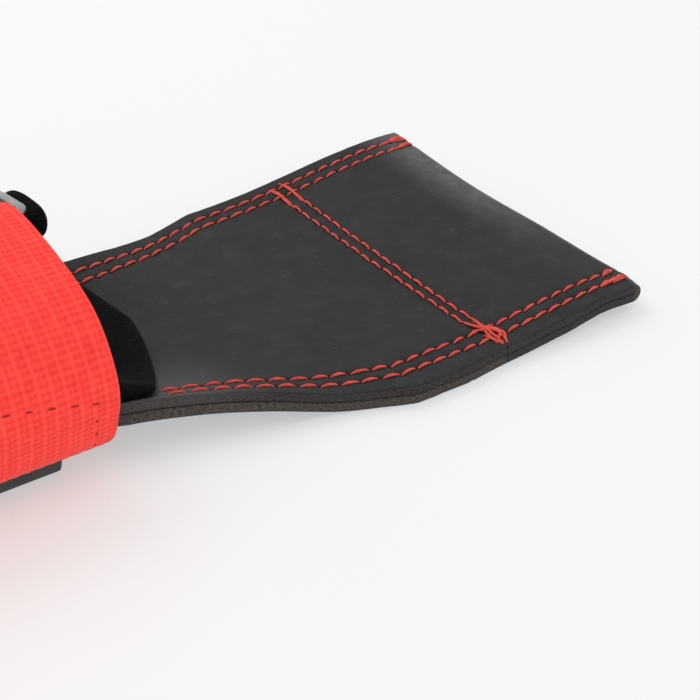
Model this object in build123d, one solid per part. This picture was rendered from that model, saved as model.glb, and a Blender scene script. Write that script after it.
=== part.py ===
from build123d import *
from math import cos, hypot, radians, sin
import os

# A weightlifting palm grip: a folded leather palm flap sewn to a padded wrist
# cuff, closed by a wide webbing strap that doubles back through a metal ring.
# Frame: +X from the cuff to the flap's tip, +Z up, +Y across the cuff. The part
# lies flap-down on a table at z = 0, with the origin under its middle.
# "u" is the distance along the flap from the strap's front edge.

# Palm flap, millimetres
FLAP_LENGTH = 145.5
NECK_HALF_WIDTH = 32.7
KINK_HALF_WIDTH = 51.4
TIP_HALF_WIDTH = 52.2
KINK_U = 69.6
FLARE_POWER = 1.35
LAYER = 2.35
LAYER_GAP = 0.1
FLAP_BASE_Z = 0.05
NECK_CUP_RADIUS = 65.0
CUP_END_U = 46.0
ANCHOR_LIFT = 1.7
ANCHOR_LIFT_END_U = 22.0
TIP_LIFT = 5.8
TIP_LIFT_START_U = 74.0
TIP_ROLL = 0.075

# Flap joints: the blade folds across its neck and again just past the cross seam
PALM_FOLD_U = 50.0
TIP_CURL_U = 105.0
FOLD_GAP = 2.9

# Stitching
STITCH_PITCH = 4.6
STITCH_LENGTH = 3.5
SHORT_STITCH = 3.2
THREAD_RADIUS = 0.4
THREAD_LIFT = 0.12
EDGE_ROWS = (4.6, 8.8)
CROSS_SEAM_U = 97.8
CROSS_SEAM_HALF_GAP = 2.0
CROSS_PITCH = 5.1

# Cuff
STRAP_WIDTH = 75.0
STRAP_FRONT_U = 2.0
STRAP_THICKNESS = 1.6
PAD_MARGIN = 8.0
PAD_TONGUE_U = 26.0
PAD_LAYERS = (("pad_cover", 1.0), ("pad_foam", 3.2), ("pad_lining", 0.8))
HOOK_THICKNESS = 1.0
LOOP_THICKNESS = 0.8
PATCH_INSET = 5.0
STRAP_TILT = 8.0
PAD_TILT = 4.0
ANCHOR_BACK_U = -58.0
SKIN_GAP = 0.1
SEAT_GAP = 0.02

# The cuff's layers are nested ovals in the YZ plane, each cut to a span of
# angles from +Y: the strap's outer pass, its inner pass, and the pad
TAIL_CENTRE = (-5.5, 24.6)
TAIL_RADII = (37.9, 24.6)
TAIL_SPAN = (79.4, 216.0)
HOOK_SPAN = (176.0, 211.0)
STRAP_CENTRE = (-2.2, 21.4)
STRAP_RADII = (36.4, 21.0)
STRAP_SPAN = (86.0, 358.0)
LOOP_SPAN = (112.0, 206.0)
ANCHOR_SPAN = (213.0, 322.0)
PAD_CENTRE = (-1.2, 26.3)
PAD_RADII = (29.8, 18.2)
PAD_SPAN = (-150.0, 76.0)
PAD_TONGUE_SPAN = (-150.0, -40.0)
KEEPER_LAP_SPAN = (22.0, 41.0)

# Ring: a wire loop, its near long side inside the strap's fold
WIRE_RADIUS = 1.2
RING_NEAR = (-1.0, 45.8)
RING_FAR = (16.0, 43.9)
RING_SIDE_CLEARANCE = 1.6
RING_CORNER_RADIUS = 3.0
FOLD_CLEARANCE = 0.3
KEEPER_WIDTH = 70.0
KEEPER_THICKNESS = 1.2
KEEPER_CLEARANCE = 0.25
KEEPER_BRIDGE = ((15.2, 41.5), (20.4, 41.5), (22.4, 37.6), (15.2, 40.0))

# Pull tab at the strap's loose end: its section runs down to the table and along it
TAB_WIDTH = 59.0
TONGUE_THICKNESS = 0.4
TAB_SECTION = ((-29.6, 6.2), (-27.6, 0.1), (-21.5, 0.1), (-21.5, 2.3), (-25.9, 2.3), (-28.9, 7.5), (-29.5, 7.0))

# Rows of thread on the cuff, by their angles round its ovals
HOOK_ROW_ANGLES = (180.0, 222.0)
HOOK_SIDE_ANGLES = (185.0, 193.0, 201.0, 209.0, 217.0)
HOOK_SIDE_TURN = 2.5
HOOK_ROW_INSET = 1.0
ANCHOR_ROW_INSETS = (4.0, 9.0)
ANCHOR_ROW_START = -122.0
ANCHOR_ROW_STEP = 8.0
ANCHOR_ROW_COUNT = 9
ANCHOR_STITCH_TURN = 3.0
KEEPER_ROW_ANGLES = (35.0, 48.0)

LEATHER_THICKNESS = 2 * LAYER + LAYER_GAP
STRAP_BACK_U = STRAP_FRONT_U - STRAP_WIDTH
PAD_FRONT_U = STRAP_FRONT_U + PAD_MARGIN
PAD_BACK_U = STRAP_BACK_U - PAD_MARGIN
MID_U = (FLAP_LENGTH + PAD_BACK_U) / 2


def ease(value):
    t = min(max(value, 0.0), 1.0)
    return t * t * (3 - 2 * t)


# ---- the flap's mid surface ------------------------------------------------

def half_width(u):
    if u < KINK_U:
        flare = (max(u, 0.0) / KINK_U) ** FLARE_POWER
        return NECK_HALF_WIDTH + (KINK_HALF_WIDTH - NECK_HALF_WIDTH) * flare
    past = (u - KINK_U) / (FLAP_LENGTH - KINK_U)
    return KINK_HALF_WIDTH + (TIP_HALF_WIDTH - KINK_HALF_WIDTH) * past


def mid_height(u):
    rest = FLAP_BASE_Z + LEATHER_THICKNESS / 2
    lift = TIP_LIFT * ease((u - TIP_LIFT_START_U) / (FLAP_LENGTH - TIP_LIFT_START_U) * 0.75) / ease(0.75)
    return rest + lift + ANCHOR_LIFT * (1 - ease(u / ANCHOR_LIFT_END_U))


def roll(u):
    return TIP_ROLL * ease(u / FLAP_LENGTH)


def cup(u):
    return (1 - ease(u / CUP_END_U)) / NECK_CUP_RADIUS


def surface_height(u, v):
    # the roll must not push the flap's near edge below the table
    settle = max(0.0, roll(u) * half_width(u) - (mid_height(u) - mid_height(KINK_U / 2)))
    return mid_height(u) + settle + roll(u) * v + cup(u) * v * v / 2


def flap_point(u, v, offset=0.0):
    slope = roll(u) + cup(u) * v
    length = hypot(1, slope)
    return Vector(u - MID_U, v - offset * slope / length, surface_height(u, v) + offset / length)


def flap_section(u, low, high):
    w = half_width(u)
    lower = [flap_point(u, v, low) for v in (-w, 0, w)]
    upper = [flap_point(u, v, high) for v in (-w, 0, w)]
    if cup(u) > 0:
        edges = [ThreePointArc(*lower), Line(lower[2], upper[2])]
        edges += [ThreePointArc(*reversed(upper)), Line(upper[0], lower[0])]
    else:
        edges = [Line(lower[0], lower[2]), Line(lower[2], upper[2])]
        edges += [Line(upper[2], upper[0]), Line(upper[0], lower[0])]
    return make_face(edges)


def flap_slab(stations, low, high):
    return loft([flap_section(u, low, high) for u in stations], ruled=True)


def stations(start, end, count, extra=()):
    step = (end - start) / count
    return sorted([start + step * i for i in range(count + 1)] + list(extra))


def fold_axis(u):
    centre = flap_point(u, 0)
    return Plane(origin=centre, x_dir=(1, 0, 0), z_dir=(0, cos(roll(u)), sin(roll(u))))


def round_end(slab, u):
    # the leather's rounded end, centred on the fold line at u
    reach = LEATHER_THICKNESS / 2
    span = 3 * half_width(u)
    beyond = Box(4 * reach, 8 * reach, span, align=(Align.MIN, Align.CENTER, Align.CENTER))
    return slab - fold_axis(u) * (beyond - Cylinder(reach, span))


LOWER = (-LEATHER_THICKNESS / 2, -LAYER_GAP / 2)
UPPER = (LAYER_GAP / 2, LEATHER_THICKNESS / 2)


def neck_layer(low, high):
    reach = LEATHER_THICKNESS / 2
    spans = stations(STRAP_FRONT_U + 0.3, PALM_FOLD_U + reach, 7)
    return round_end(flap_slab(spans, low, high), PALM_FOLD_U)


def palm_layer(low, high):
    reach = LEATHER_THICKNESS / 2
    spans = stations(PALM_FOLD_U + FOLD_GAP, TIP_CURL_U + reach, 6, extra=(KINK_U,))
    return round_end(flap_slab(spans, low, high), TIP_CURL_U)


def tip_leather():
    # one sheet folded back under itself, with a slit between its two layers
    start = TIP_CURL_U + FOLD_GAP
    bend_u = FLAP_LENGTH - LEATHER_THICKNESS / 2
    spans = stations(start, FLAP_LENGTH, 6)
    sheet = round_end(flap_slab(spans, LOWER[0], UPPER[1]), bend_u)
    return sheet - flap_slab(stations(start - 1, bend_u - 0.5, 6), LOWER[1], UPPER[0])


# ---- stitches ---------------------------------------------------------------

def thread(start, end):
    way = end - start
    return Solid.make_cylinder(THREAD_RADIUS, way.length, Plane(origin=start, z_dir=way))


def edge_stitches(side, start, end):
    top = LEATHER_THICKNESS / 2 + THREAD_RADIUS + THREAD_LIFT
    pieces = []
    for inset in EDGE_ROWS:
        count = int((end - start) / STITCH_PITCH)
        for i in range(count):
            u = start + (i + 0.5) * (end - start) / count
            ends = [u - STITCH_LENGTH / 2, u + STITCH_LENGTH / 2]
            points = [flap_point(x, side * (half_width(x) - inset), top) for x in ends]
            pieces.append(thread(*points))
    return Compound(children=pieces)


def cross_stitches():
    top = LEATHER_THICKNESS / 2 + THREAD_RADIUS + THREAD_LIFT
    reach = half_width(CROSS_SEAM_U) - EDGE_ROWS[0]
    count = int(2 * (reach - EDGE_ROWS[1]) / CROSS_PITCH)
    pieces = []
    for side in (-1, 1):
        u = CROSS_SEAM_U + side * CROSS_SEAM_HALF_GAP
        for i in range(count):
            v = (i + 0.5 - count / 2) * CROSS_PITCH
            half = STITCH_LENGTH / 2
            pieces.append(thread(flap_point(u, v - half, top), flap_point(u, v + half, top)))
    return Compound(children=pieces)


# ---- the cuff's nested ellipses, drawn in the YZ plane ----------------------

YZ = Plane(origin=(0, 0, 0), x_dir=(0, 1, 0), z_dir=(1, 0, 0))


def oval(centre, radii, tilt, depth):
    shape = Ellipse(radii[0] - depth, radii[1] - depth)
    return Pos(*centre) * Rot(0, 0, -tilt) * shape


def tail_oval(depth):
    return oval(TAIL_CENTRE, TAIL_RADII, 0, depth)


def strap_oval(depth):
    return oval(STRAP_CENTRE, STRAP_RADII, STRAP_TILT, depth)


def pad_oval(depth):
    return oval(PAD_CENTRE, PAD_RADII, PAD_TILT, depth)


def sector(centre, start, end, reach=90.0):
    # a fan of the YZ plane from one angle to another, anticlockwise from +Y
    steps = max(2, int((end - start) / 30))
    angles = [radians(start + (end - start) * i / steps) for i in range(steps + 1)]
    rim = [(centre[0] + reach * cos(a), centre[1] + reach * sin(a)) for a in angles]
    return make_face(Polyline(centre, *rim, centre))


def along_x(shape, start_u, end_u):
    placed = Pos(start_u - MID_U, 0, 0) * (YZ * shape)
    return extrude(placed, amount=end_u - start_u, dir=(1, 0, 0))


def band(profile, depth, thickness, centre, span, start_u, end_u):
    whole = profile(depth) - profile(depth + thickness)
    return along_x(whole & sector(centre, *span), start_u, end_u)


def strap_base():
    return band(strap_oval, 0, STRAP_THICKNESS, STRAP_CENTRE, STRAP_SPAN, STRAP_BACK_U, STRAP_FRONT_U)


def loop_patch():
    return band(strap_oval, -LOOP_THICKNESS, LOOP_THICKNESS - SEAT_GAP, STRAP_CENTRE, LOOP_SPAN,
                STRAP_BACK_U + PATCH_INSET, STRAP_FRONT_U - PATCH_INSET)


def strap_tail():
    outer = band(tail_oval, 0, STRAP_THICKNESS, TAIL_CENTRE, TAIL_SPAN, STRAP_BACK_U, STRAP_FRONT_U)
    inner_radius = WIRE_RADIUS + FOLD_CLEARANCE
    annulus = Circle(inner_radius + STRAP_THICKNESS) - Circle(inner_radius)
    far_half = annulus & (Pos(5, 0) * Rectangle(10, 20))
    fold = along_x(Pos(*RING_NEAR) * far_half, STRAP_BACK_U, STRAP_FRONT_U)
    return outer + fold


def hook_patch():
    return band(tail_oval, STRAP_THICKNESS + SEAT_GAP, HOOK_THICKNESS, TAIL_CENTRE, HOOK_SPAN,
                STRAP_BACK_U + PATCH_INSET, STRAP_FRONT_U - PATCH_INSET)


def oval_point(centre, radii, tilt, lift, u, angle):
    # a point at a parametric angle on an oval, raised by lift
    spot = Vector((radii[0] + lift) * cos(radians(angle)), (radii[1] + lift) * sin(radians(angle)))
    spot = spot.rotate(Axis.Z, -tilt)
    return Vector(u - MID_U, centre[0] + spot.X, centre[1] + spot.Y)


def hook_stitches():
    # a box of thread on the strap's outer face around the hook patch
    lift = THREAD_RADIUS + THREAD_LIFT
    front_u = STRAP_FRONT_U - PATCH_INSET - HOOK_ROW_INSET
    back_u = STRAP_BACK_U + PATCH_INSET + HOOK_ROW_INSET
    half = SHORT_STITCH / 2

    def on_tail(u, angle):
        return oval_point(TAIL_CENTRE, TAIL_RADII, 0, lift, u, angle)

    pieces = []
    count = int((front_u - back_u) / CROSS_PITCH)
    for i in range(count):
        u = back_u + (i + 0.5) * (front_u - back_u) / count
        for angle in HOOK_ROW_ANGLES:
            pieces.append(thread(on_tail(u - half, angle), on_tail(u + half, angle)))
    for u in (back_u, front_u):
        for angle in HOOK_SIDE_ANGLES:
            pieces.append(thread(on_tail(u, angle - HOOK_SIDE_TURN), on_tail(u, angle + HOOK_SIDE_TURN)))
    return Compound(children=pieces)


def pull_tab():
    # a stiff tongue sewn inside the strap's end, bent down to lie on the table
    middle = (STRAP_FRONT_U + STRAP_BACK_U) / 2
    front_u, back_u = middle + TAB_WIDTH / 2, middle - TAB_WIDTH / 2
    outline = Polyline(*TAB_SECTION, TAB_SECTION[0])
    tongue_span = (HOOK_SPAN[1] + 0.5, TAIL_SPAN[1] + 1)
    tongue = band(tail_oval, STRAP_THICKNESS + SEAT_GAP, TONGUE_THICKNESS, TAIL_CENTRE, tongue_span, back_u, front_u)
    return along_x(make_face(outline), back_u, front_u) + tongue


def flap_anchor():
    # the flap's neck where it lies between the strap and the pad
    return band(strap_oval, STRAP_THICKNESS + SKIN_GAP, LEATHER_THICKNESS, STRAP_CENTRE, ANCHOR_SPAN,
                ANCHOR_BACK_U, STRAP_FRONT_U)


def anchor_stitches():
    # rows across the flap's neck, seen on the pad's inner face inside the cuff
    lift = -sum(thickness for _, thickness in PAD_LAYERS) - THREAD_RADIUS - THREAD_LIFT
    pieces = []
    rows = [ANCHOR_BACK_U + inset for inset in ANCHOR_ROW_INSETS]
    rows += [STRAP_FRONT_U - inset for inset in ANCHOR_ROW_INSETS]
    for u in rows:
        for i in range(ANCHOR_ROW_COUNT):
            middle = ANCHOR_ROW_START + i * ANCHOR_ROW_STEP
            angles = (middle - ANCHOR_STITCH_TURN, middle + ANCHOR_STITCH_TURN)
            pieces.append(thread(*[oval_point(PAD_CENTRE, PAD_RADII, PAD_TILT, lift, u, angle) for angle in angles]))
    return Compound(children=pieces)


def pad_parts():
    # the pad lines the cuff, and its lower side runs on over the flap as a tongue
    parts = {}
    depth = 0.0
    for name, thickness in PAD_LAYERS:
        lining = band(pad_oval, depth, thickness - SEAT_GAP, PAD_CENTRE, PAD_SPAN, PAD_BACK_U, PAD_FRONT_U)
        tongue = band(pad_oval, depth, thickness - SEAT_GAP, PAD_CENTRE, PAD_TONGUE_SPAN, PAD_FRONT_U, PAD_TONGUE_U)
        parts[name] = lining + tongue
        depth += thickness
    return parts


def ring_edges():
    front_u = STRAP_FRONT_U + RING_SIDE_CLEARANCE + WIRE_RADIUS
    back_u = STRAP_BACK_U - RING_SIDE_CLEARANCE - WIRE_RADIUS
    return back_u - MID_U, front_u - MID_U


def metal_ring():
    back_x, front_x = ring_edges()
    run = hypot(RING_FAR[0] - RING_NEAR[0], RING_FAR[1] - RING_NEAR[1])
    middle = Vector((back_x + front_x) / 2, (RING_NEAR[0] + RING_FAR[0]) / 2, (RING_NEAR[1] + RING_FAR[1]) / 2)
    across = (0, (RING_FAR[0] - RING_NEAR[0]) / run, (RING_FAR[1] - RING_NEAR[1]) / run)
    plane = Plane(origin=middle, x_dir=(1, 0, 0), z_dir=Vector(1, 0, 0).cross(Vector(*across)))
    loop = RectangleRounded(front_x - back_x, run, RING_CORNER_RADIUS)
    path = (plane * loop).wire()
    start = path @ 0
    section = Plane(origin=start, z_dir=path % 0) * Circle(WIRE_RADIUS)
    return sweep(section, path)


def ring_keeper():
    # webbing wrapped once round the ring's far side and lapped down the pad
    inner = WIRE_RADIUS + KEEPER_CLEARANCE
    eye = Pos(*RING_FAR) * Circle(inner + KEEPER_THICKNESS)
    hole = Pos(*RING_FAR) * Circle(inner)
    lap = pad_oval(-2 * KEEPER_THICKNESS - SKIN_GAP) & sector(PAD_CENTRE, *KEEPER_LAP_SPAN)
    bridge = make_face(Polyline(*KEEPER_BRIDGE, KEEPER_BRIDGE[0]))
    section = (eye + lap + bridge) - pad_oval(-SKIN_GAP) - hole
    middle = (STRAP_FRONT_U + STRAP_BACK_U) / 2
    return along_x(section, middle - KEEPER_WIDTH / 2, middle + KEEPER_WIDTH / 2)


def keeper_stitches():
    lift = 2 * KEEPER_THICKNESS + SKIN_GAP + THREAD_RADIUS + THREAD_LIFT
    middle = (STRAP_FRONT_U + STRAP_BACK_U) / 2
    count = int(KEEPER_WIDTH / CROSS_PITCH) - 1
    half = SHORT_STITCH / 2
    pieces = []
    for angle in KEEPER_ROW_ANGLES:
        for i in range(count):
            u = middle + (i + 0.5 - count / 2) * CROSS_PITCH
            ends = [oval_point(PAD_CENTRE, PAD_RADII, PAD_TILT, lift, u + step, angle) for step in (-half, half)]
            pieces.append(thread(*ends))
    return Compound(children=pieces)


def build():
    neck_end = PALM_FOLD_U - 4
    palm_start = PALM_FOLD_U + FOLD_GAP + 1
    tip_start = TIP_CURL_U + FOLD_GAP + 1
    parts = {
        "neck_lower_layer": neck_layer(*LOWER),
        "neck_upper_layer": neck_layer(*UPPER),
        "palm_lower_layer": palm_layer(*LOWER),
        "palm_upper_layer": palm_layer(*UPPER),
        "tip_leather": tip_leather(),
        "flap_anchor": flap_anchor(),
        "cross_seam_stitching": cross_stitches(),
        "anchor_stitching": anchor_stitches(),
        "strap_base": strap_base(),
        "loop_patch": loop_patch(),
        "strap_tail": strap_tail(),
        "hook_patch": hook_patch(),
        "hook_patch_stitching": hook_stitches(),
        "pull_tab": pull_tab(),
        "ring": metal_ring(),
        "ring_keeper": ring_keeper(),
        "keeper_stitching": keeper_stitches(),
    }
    for side, word in ((-1, "near"), (1, "far")):
        parts[f"neck_stitching_{word}"] = edge_stitches(side, PAD_FRONT_U + 3, neck_end)
        parts[f"palm_stitching_{word}"] = edge_stitches(side, palm_start, TIP_CURL_U - 3)
        parts[f"tip_stitching_{word}"] = edge_stitches(side, tip_start, FLAP_LENGTH - 3)
    parts.update(pad_parts())
    return parts


os.makedirs("parts", exist_ok=True)
for node, shape in build().items():
    export_step(shape, f"parts/{node}.step")
    box = shape.bounding_box()
    print(node, [round(n, 2) for n in (*box.min, *box.max)], len(shape.solids()))
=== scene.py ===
import math

import bmesh
import bpy
import numpy as np
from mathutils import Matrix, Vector, noise


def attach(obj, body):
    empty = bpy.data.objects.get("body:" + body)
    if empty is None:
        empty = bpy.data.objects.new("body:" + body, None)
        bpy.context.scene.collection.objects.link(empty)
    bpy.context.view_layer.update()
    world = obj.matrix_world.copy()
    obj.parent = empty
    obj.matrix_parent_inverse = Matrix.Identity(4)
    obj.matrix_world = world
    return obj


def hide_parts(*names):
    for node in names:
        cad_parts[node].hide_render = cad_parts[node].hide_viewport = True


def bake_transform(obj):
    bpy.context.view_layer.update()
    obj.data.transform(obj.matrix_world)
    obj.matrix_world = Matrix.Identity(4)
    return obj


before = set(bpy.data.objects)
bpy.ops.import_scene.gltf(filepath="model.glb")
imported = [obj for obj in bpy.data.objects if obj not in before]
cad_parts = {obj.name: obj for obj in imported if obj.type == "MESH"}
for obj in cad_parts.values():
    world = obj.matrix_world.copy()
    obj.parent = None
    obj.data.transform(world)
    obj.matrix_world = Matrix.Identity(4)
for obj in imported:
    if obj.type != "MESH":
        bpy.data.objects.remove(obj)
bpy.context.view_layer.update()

# All lengths below are millimetres until a mesh is made. "u" runs along the flap from
# just inside the strap's front edge, "v" across it, and "lift" away from the leather's
# middle. MID_U is the u at the frame's origin. The near side is the side of negative v.
MM = 0.001
MID_U = 32.25

# ---- sizes that follow the CAD ----
FLAP_LENGTH = 145.5
KINK_U = 69.64
HALF_LEATHER = 2.4
LAYER_MIDDLE = 1.225
LAYER_HALF = 1.175
EDGE_ROWS = (4.6, 8.8)
SEAM_U = 97.8
STRAP_BACK, STRAP_FRONT = -73.0, 2.0
STRAP_MIDDLE = (STRAP_BACK + STRAP_FRONT) / 2
STRAP_THICKNESS = 1.6
# ovals in the YZ plane: centre, radii and tilt in degrees
TAIL = ((-5.5, 24.6), (37.9, 24.6), 0.0)
STRAP = ((-2.2, 21.4), (36.4, 21.0), 8.0)
PAD = ((-1.2, 26.3), (29.8, 18.2), 4.0)
RING_NEAR = (-1.0, 45.8)
RING_FAR = (16.0, 43.9)

rng = np.random.default_rng(11)


def smooth(value):
    t = np.clip(value, 0.0, 1.0)
    return t * t * (3 - 2 * t)


def fractal(points, scale, seed=0.0):
    """Smooth noise from about -1 to 1 at each point, given in mm."""
    shifted = np.asarray(points, float) / scale + seed
    return np.array([noise.noise(Vector(p)) for p in shifted])


# ---- meshes ----

def loft_faces(ring_count, ring_size, first=0):
    index = np.arange(ring_count * ring_size).reshape(ring_count, ring_size) + first
    beside = np.roll(index, -1, axis=1)
    quads = np.stack([index[:-1], beside[:-1], beside[1:], index[1:]], -1).reshape(-1, 4)
    return quads.tolist(), [index[0][::-1].tolist(), index[-1].tolist()]


def make_object(name, points, faces, caps, uv=None, values=None):
    mesh = bpy.data.meshes.new(name)
    mesh.from_pydata((np.asarray(points) * MM).tolist(), [], faces + caps)
    smooth_flags = np.ones(len(mesh.polygons), bool)
    smooth_flags[len(faces):] = False
    mesh.polygons.foreach_set("use_smooth", smooth_flags)
    corner_vertex = np.zeros(len(mesh.loops), np.int32)
    mesh.loops.foreach_get("vertex_index", corner_vertex)
    if uv is not None:
        layer = mesh.uv_layers.new(name="surface")
        layer.data.foreach_set("uv", np.asarray(uv, np.float32)[corner_vertex].ravel())
    for key, data in (values or {}).items():
        attribute = mesh.attributes.new(key, "FLOAT", "POINT")
        attribute.data.foreach_set("value", np.asarray(data, np.float32).ravel())
    work = bmesh.new()
    work.from_mesh(mesh)
    bmesh.ops.recalc_face_normals(work, faces=work.faces)
    work.to_mesh(mesh)
    work.free()
    mesh.update()
    thing = bpy.data.objects.new(name, mesh)
    bpy.context.scene.collection.objects.link(thing)
    return thing


def finish_piece(thing, material, body=None, replaces=()):
    thing.data.materials.append(material)
    if replaces:
        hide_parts(*replaces)
    if body:
        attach(thing, body)
    return thing


# ---- the leather's surface ----

NECK_HALF_WIDTH = 32.66
NECK_FLARE = 18.73
BLADE_FLARE = 0.76
HIDDEN_INSET = 9.0
TAIL_END = 216.0
TAIL_SPRING = 1.4
SHOULDER = 118.0
SHOULDER_PULL = 1.1


def half_width(u):
    """Half the flap's width: it flares out to the kink, then runs almost straight to the tip."""
    flare = NECK_FLARE * (np.clip(u, 0, KINK_U) / KINK_U) ** 1.22
    blade = BLADE_FLARE * np.clip((u - KINK_U) / (FLAP_LENGTH - KINK_U), 0, 1)
    return NECK_HALF_WIDTH + flare + blade - HIDDEN_INSET * smooth((STRAP_FRONT - u) / 10.0)


def tail_flare(turn):
    """How far the strap stands out from its oval: its free end springs away, its shoulder is pulled in."""
    degrees = np.degrees(turn)
    spring = TAIL_SPRING * (1 - smooth((TAIL_END - degrees) / 21.5))
    return spring - SHOULDER_PULL * np.exp(-((degrees - SHOULDER) / 17) ** 2)


def oval_point(oval, turn, depth):
    """A point on an oval at a parametric turn in radians, and the way inward."""
    if oval is TAIL:
        depth = depth - tail_flare(turn)
    (cy, cz), (a, b), tilt = oval
    lean = -math.radians(tilt)
    y, z = a * np.cos(turn), b * np.sin(turn)
    ny, nz = -b * np.cos(turn), -a * np.sin(turn)
    size = np.hypot(ny, nz)
    y, z = y + depth * ny / size, z + depth * nz / size
    c, s = math.cos(lean), math.sin(lean)
    spot = np.stack([cy + y * c - z * s, cz + y * s + z * c], -1)
    inward = np.stack([(ny * c - nz * s) / size, (ny * s + nz * c) / size], -1)
    return spot, inward


def turn_of(oval, angle):
    """The parametric turn where the oval crosses a direction from its centre."""
    (_, _), (a, b), tilt = oval
    local = math.radians(angle + tilt)
    turn = math.atan2(math.sin(local) / b, math.cos(local) / a)
    return turn + 2 * math.pi * round((local - turn) / (2 * math.pi))


def arc_table(oval, depth, start, end):
    """Turns along an oval, the distance run at each, and where it crosses y = 0."""
    turns = np.linspace(turn_of(oval, start), turn_of(oval, end), 600)
    spots, _ = oval_point(oval, turns, depth)
    run = np.concatenate([[0], np.cumsum(np.hypot(*np.diff(spots, axis=0).T))])
    middle = run[np.argmin(np.abs(spots[:, 0]) + 1e3 * (spots[:, 1] > oval[0][1]))]
    return turns, run - middle


ANCHOR_DEPTH = 4.1
ANCHOR_TURNS, ANCHOR_RUN = arc_table(STRAP, ANCHOR_DEPTH, 183, 357)


CUFF_BOW_RADIUS = 65
BLADE_BOW_RADIUS = 1353
BOW_RUN = 59.9
MIDDLE_HEIGHT = 2.76
TIP_RISE = 5.77
TIP_ROLL = 0.075
TABLE_GAP = 0.04
SETTLE = 0.6


def free_surface(u, v, lift):
    """The leather before it meets anything: bowed across by the cuff, rising and rolled at the tip."""
    bowed = 1 - smooth(u / BOW_RUN)
    k = 1 / BLADE_BOW_RADIUS + (1 / CUFF_BOW_RADIUS - 1 / BLADE_BOW_RADIUS) * bowed
    base = MIDDLE_HEIGHT - 0.37 * bowed + TIP_RISE * smooth((u - 73.6) / 71.9)
    base = base + 0.9 * (1 - smooth(u / 22))
    bend = k * v
    y = np.sin(bend) / k - lift * np.sin(bend)
    z = (1 - np.cos(bend)) / k + lift * np.cos(bend)
    roll = TIP_ROLL * smooth(u / FLAP_LENGTH) + 0.022 * (1 - smooth(u / 45))
    sag = 0.5 * smooth((u - 110) / 35.5) * (1 - (v / 52) ** 2)
    fold_dip = 0.3 + 1.0 * np.exp(-((v - 15) / 20) ** 2) + 0.75 * smooth((-v - 10) / 30)
    sag = sag + fold_dip * smooth((u - 128) / 17.5)
    return np.stack([u - MID_U, y * np.cos(roll) - z * np.sin(roll),
                     y * np.sin(roll) + z * np.cos(roll) + base - sag], -1)


def leather(u, v, lift):
    """A point in the leather, lift above its middle; it lies on the table or against the strap."""
    u, v, lift = np.broadcast_arrays(np.asarray(u, float), v, lift)
    # outside its thread rows the near margin is a little fuller at the kink
    fuller = 1.8 * smooth((u - 54) / 20) - 1.2 * smooth((u - 84) / 14) - 0.6 * smooth((u - 118) / 14)
    v = v - fuller * smooth((-v - half_width(u) + 2.4) / 2.4)
    spot = free_surface(u, v, lift)
    # wherever its underside would sink into the table it is lifted onto it, easing in over SETTLE
    below = free_surface(u, v, np.full_like(lift, -HALF_LEATHER))[..., 2]
    lifted = np.where(below > -SETTLE, (SETTLE - np.minimum(below, SETTLE)) ** 2 / (4 * SETTLE), -below)
    spot[..., 2] += lifted + TABLE_GAP
    turn = np.interp(v, ANCHOR_RUN, ANCHOR_TURNS)
    inside, inward = oval_point(STRAP, turn, ANCHOR_DEPTH)
    held = np.concatenate([(u - MID_U)[..., None], inside + inward * lift[..., None]], -1)
    share = (1 - smooth((u + 0.5) / 6.5))[..., None]
    spot = spot * (1 - share) + held * share
    flat_spot = np.stack([u, v, 0 * v], -1).reshape(-1, 3)
    wave = fractal(flat_spot, 31.0, 4.0).reshape(u.shape) * 0.3 * smooth((u - 20) / 30)
    spot[..., 2] += (wave + 0.15) * smooth((spot[..., 2] - lift - 2.0) / 4)
    spot[..., 0] -= 1.6 * smooth((-v - 45) / 8) * smooth((u - 132) / 12)
    return spot


SEAM_SKEW = 0.0075


def seam_skew(u):
    """How far forward a line across the flap leans, for each mm of v."""
    return SEAM_SKEW * smooth((u - 60) / 37.8)


# ---- stitches: where each one starts and ends on the leather ----

STITCH_PITCH = 4.6
STITCH_LENGTH = 4.1
SLANT = 0.24


def edge_row(side, inset, start, end):
    count = round((end - start) / STITCH_PITCH)
    middles = start + (np.arange(count) + 0.5) * (end - start) / count
    middles = middles + rng.normal(0, 0.12, count)
    stitches = []
    for u in middles:
        half = STITCH_LENGTH / 2 + rng.normal(0, 0.1)
        ends = []
        for step in (-1, 1):
            at = u + step * half
            v = side * (half_width(np.array(at)) - inset) + step * SLANT + rng.normal(0, 0.07)
            ends.append((at + seam_skew(at) * v, float(v)))
        stitches.append(ends)
    return stitches


def seam_gap(v):
    """Half the distance between the two rows across the flap; they close up towards the near side."""
    return 1.65 + 0.009 * v


def cross_row(step, reach):
    count = round(2 * reach / STITCH_PITCH)
    stitches = []
    for i in range(count):
        v = (i + 0.5 - count / 2) * 2 * reach / count + rng.normal(0, 0.1)
        half = STITCH_LENGTH / 2
        u = SEAM_U + step * seam_gap(v) + rng.normal(0, 0.06)
        stitches.append([(u + SEAM_SKEW * v + end * SLANT / 2, v + end * half) for end in (-1, 1)])
    return stitches


ROW_SPLIT_U = 97.4
ROW_SPANS = {"near": (-1, 18.6, 142.4), "far": (1, 8.0, 143.2)}
SEAM_REACH = 37.0
ROWS = {}
for word, (side, first, last) in ROW_SPANS.items():
    ROWS["edge_stitching_" + word] = [s for row in EDGE_ROWS for s in edge_row(side, row, first, ROW_SPLIT_U)]
    ROWS["tip_stitching_" + word] = [s for row in EDGE_ROWS for s in edge_row(side, row, ROW_SPLIT_U, last)]
ROWS["cross_seam_stitching"] = [s for step in (-1, 1) for s in cross_row(step, SEAM_REACH)]
HOLES = np.array([end for row in ROWS.values() for stitch in row for end in stitch])


PIT_RADIUS = 0.42
PIT_DEPTH = 0.5
PRESS_WIDTH = 0.75
PRESS_DEPTH = 0.13


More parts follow.
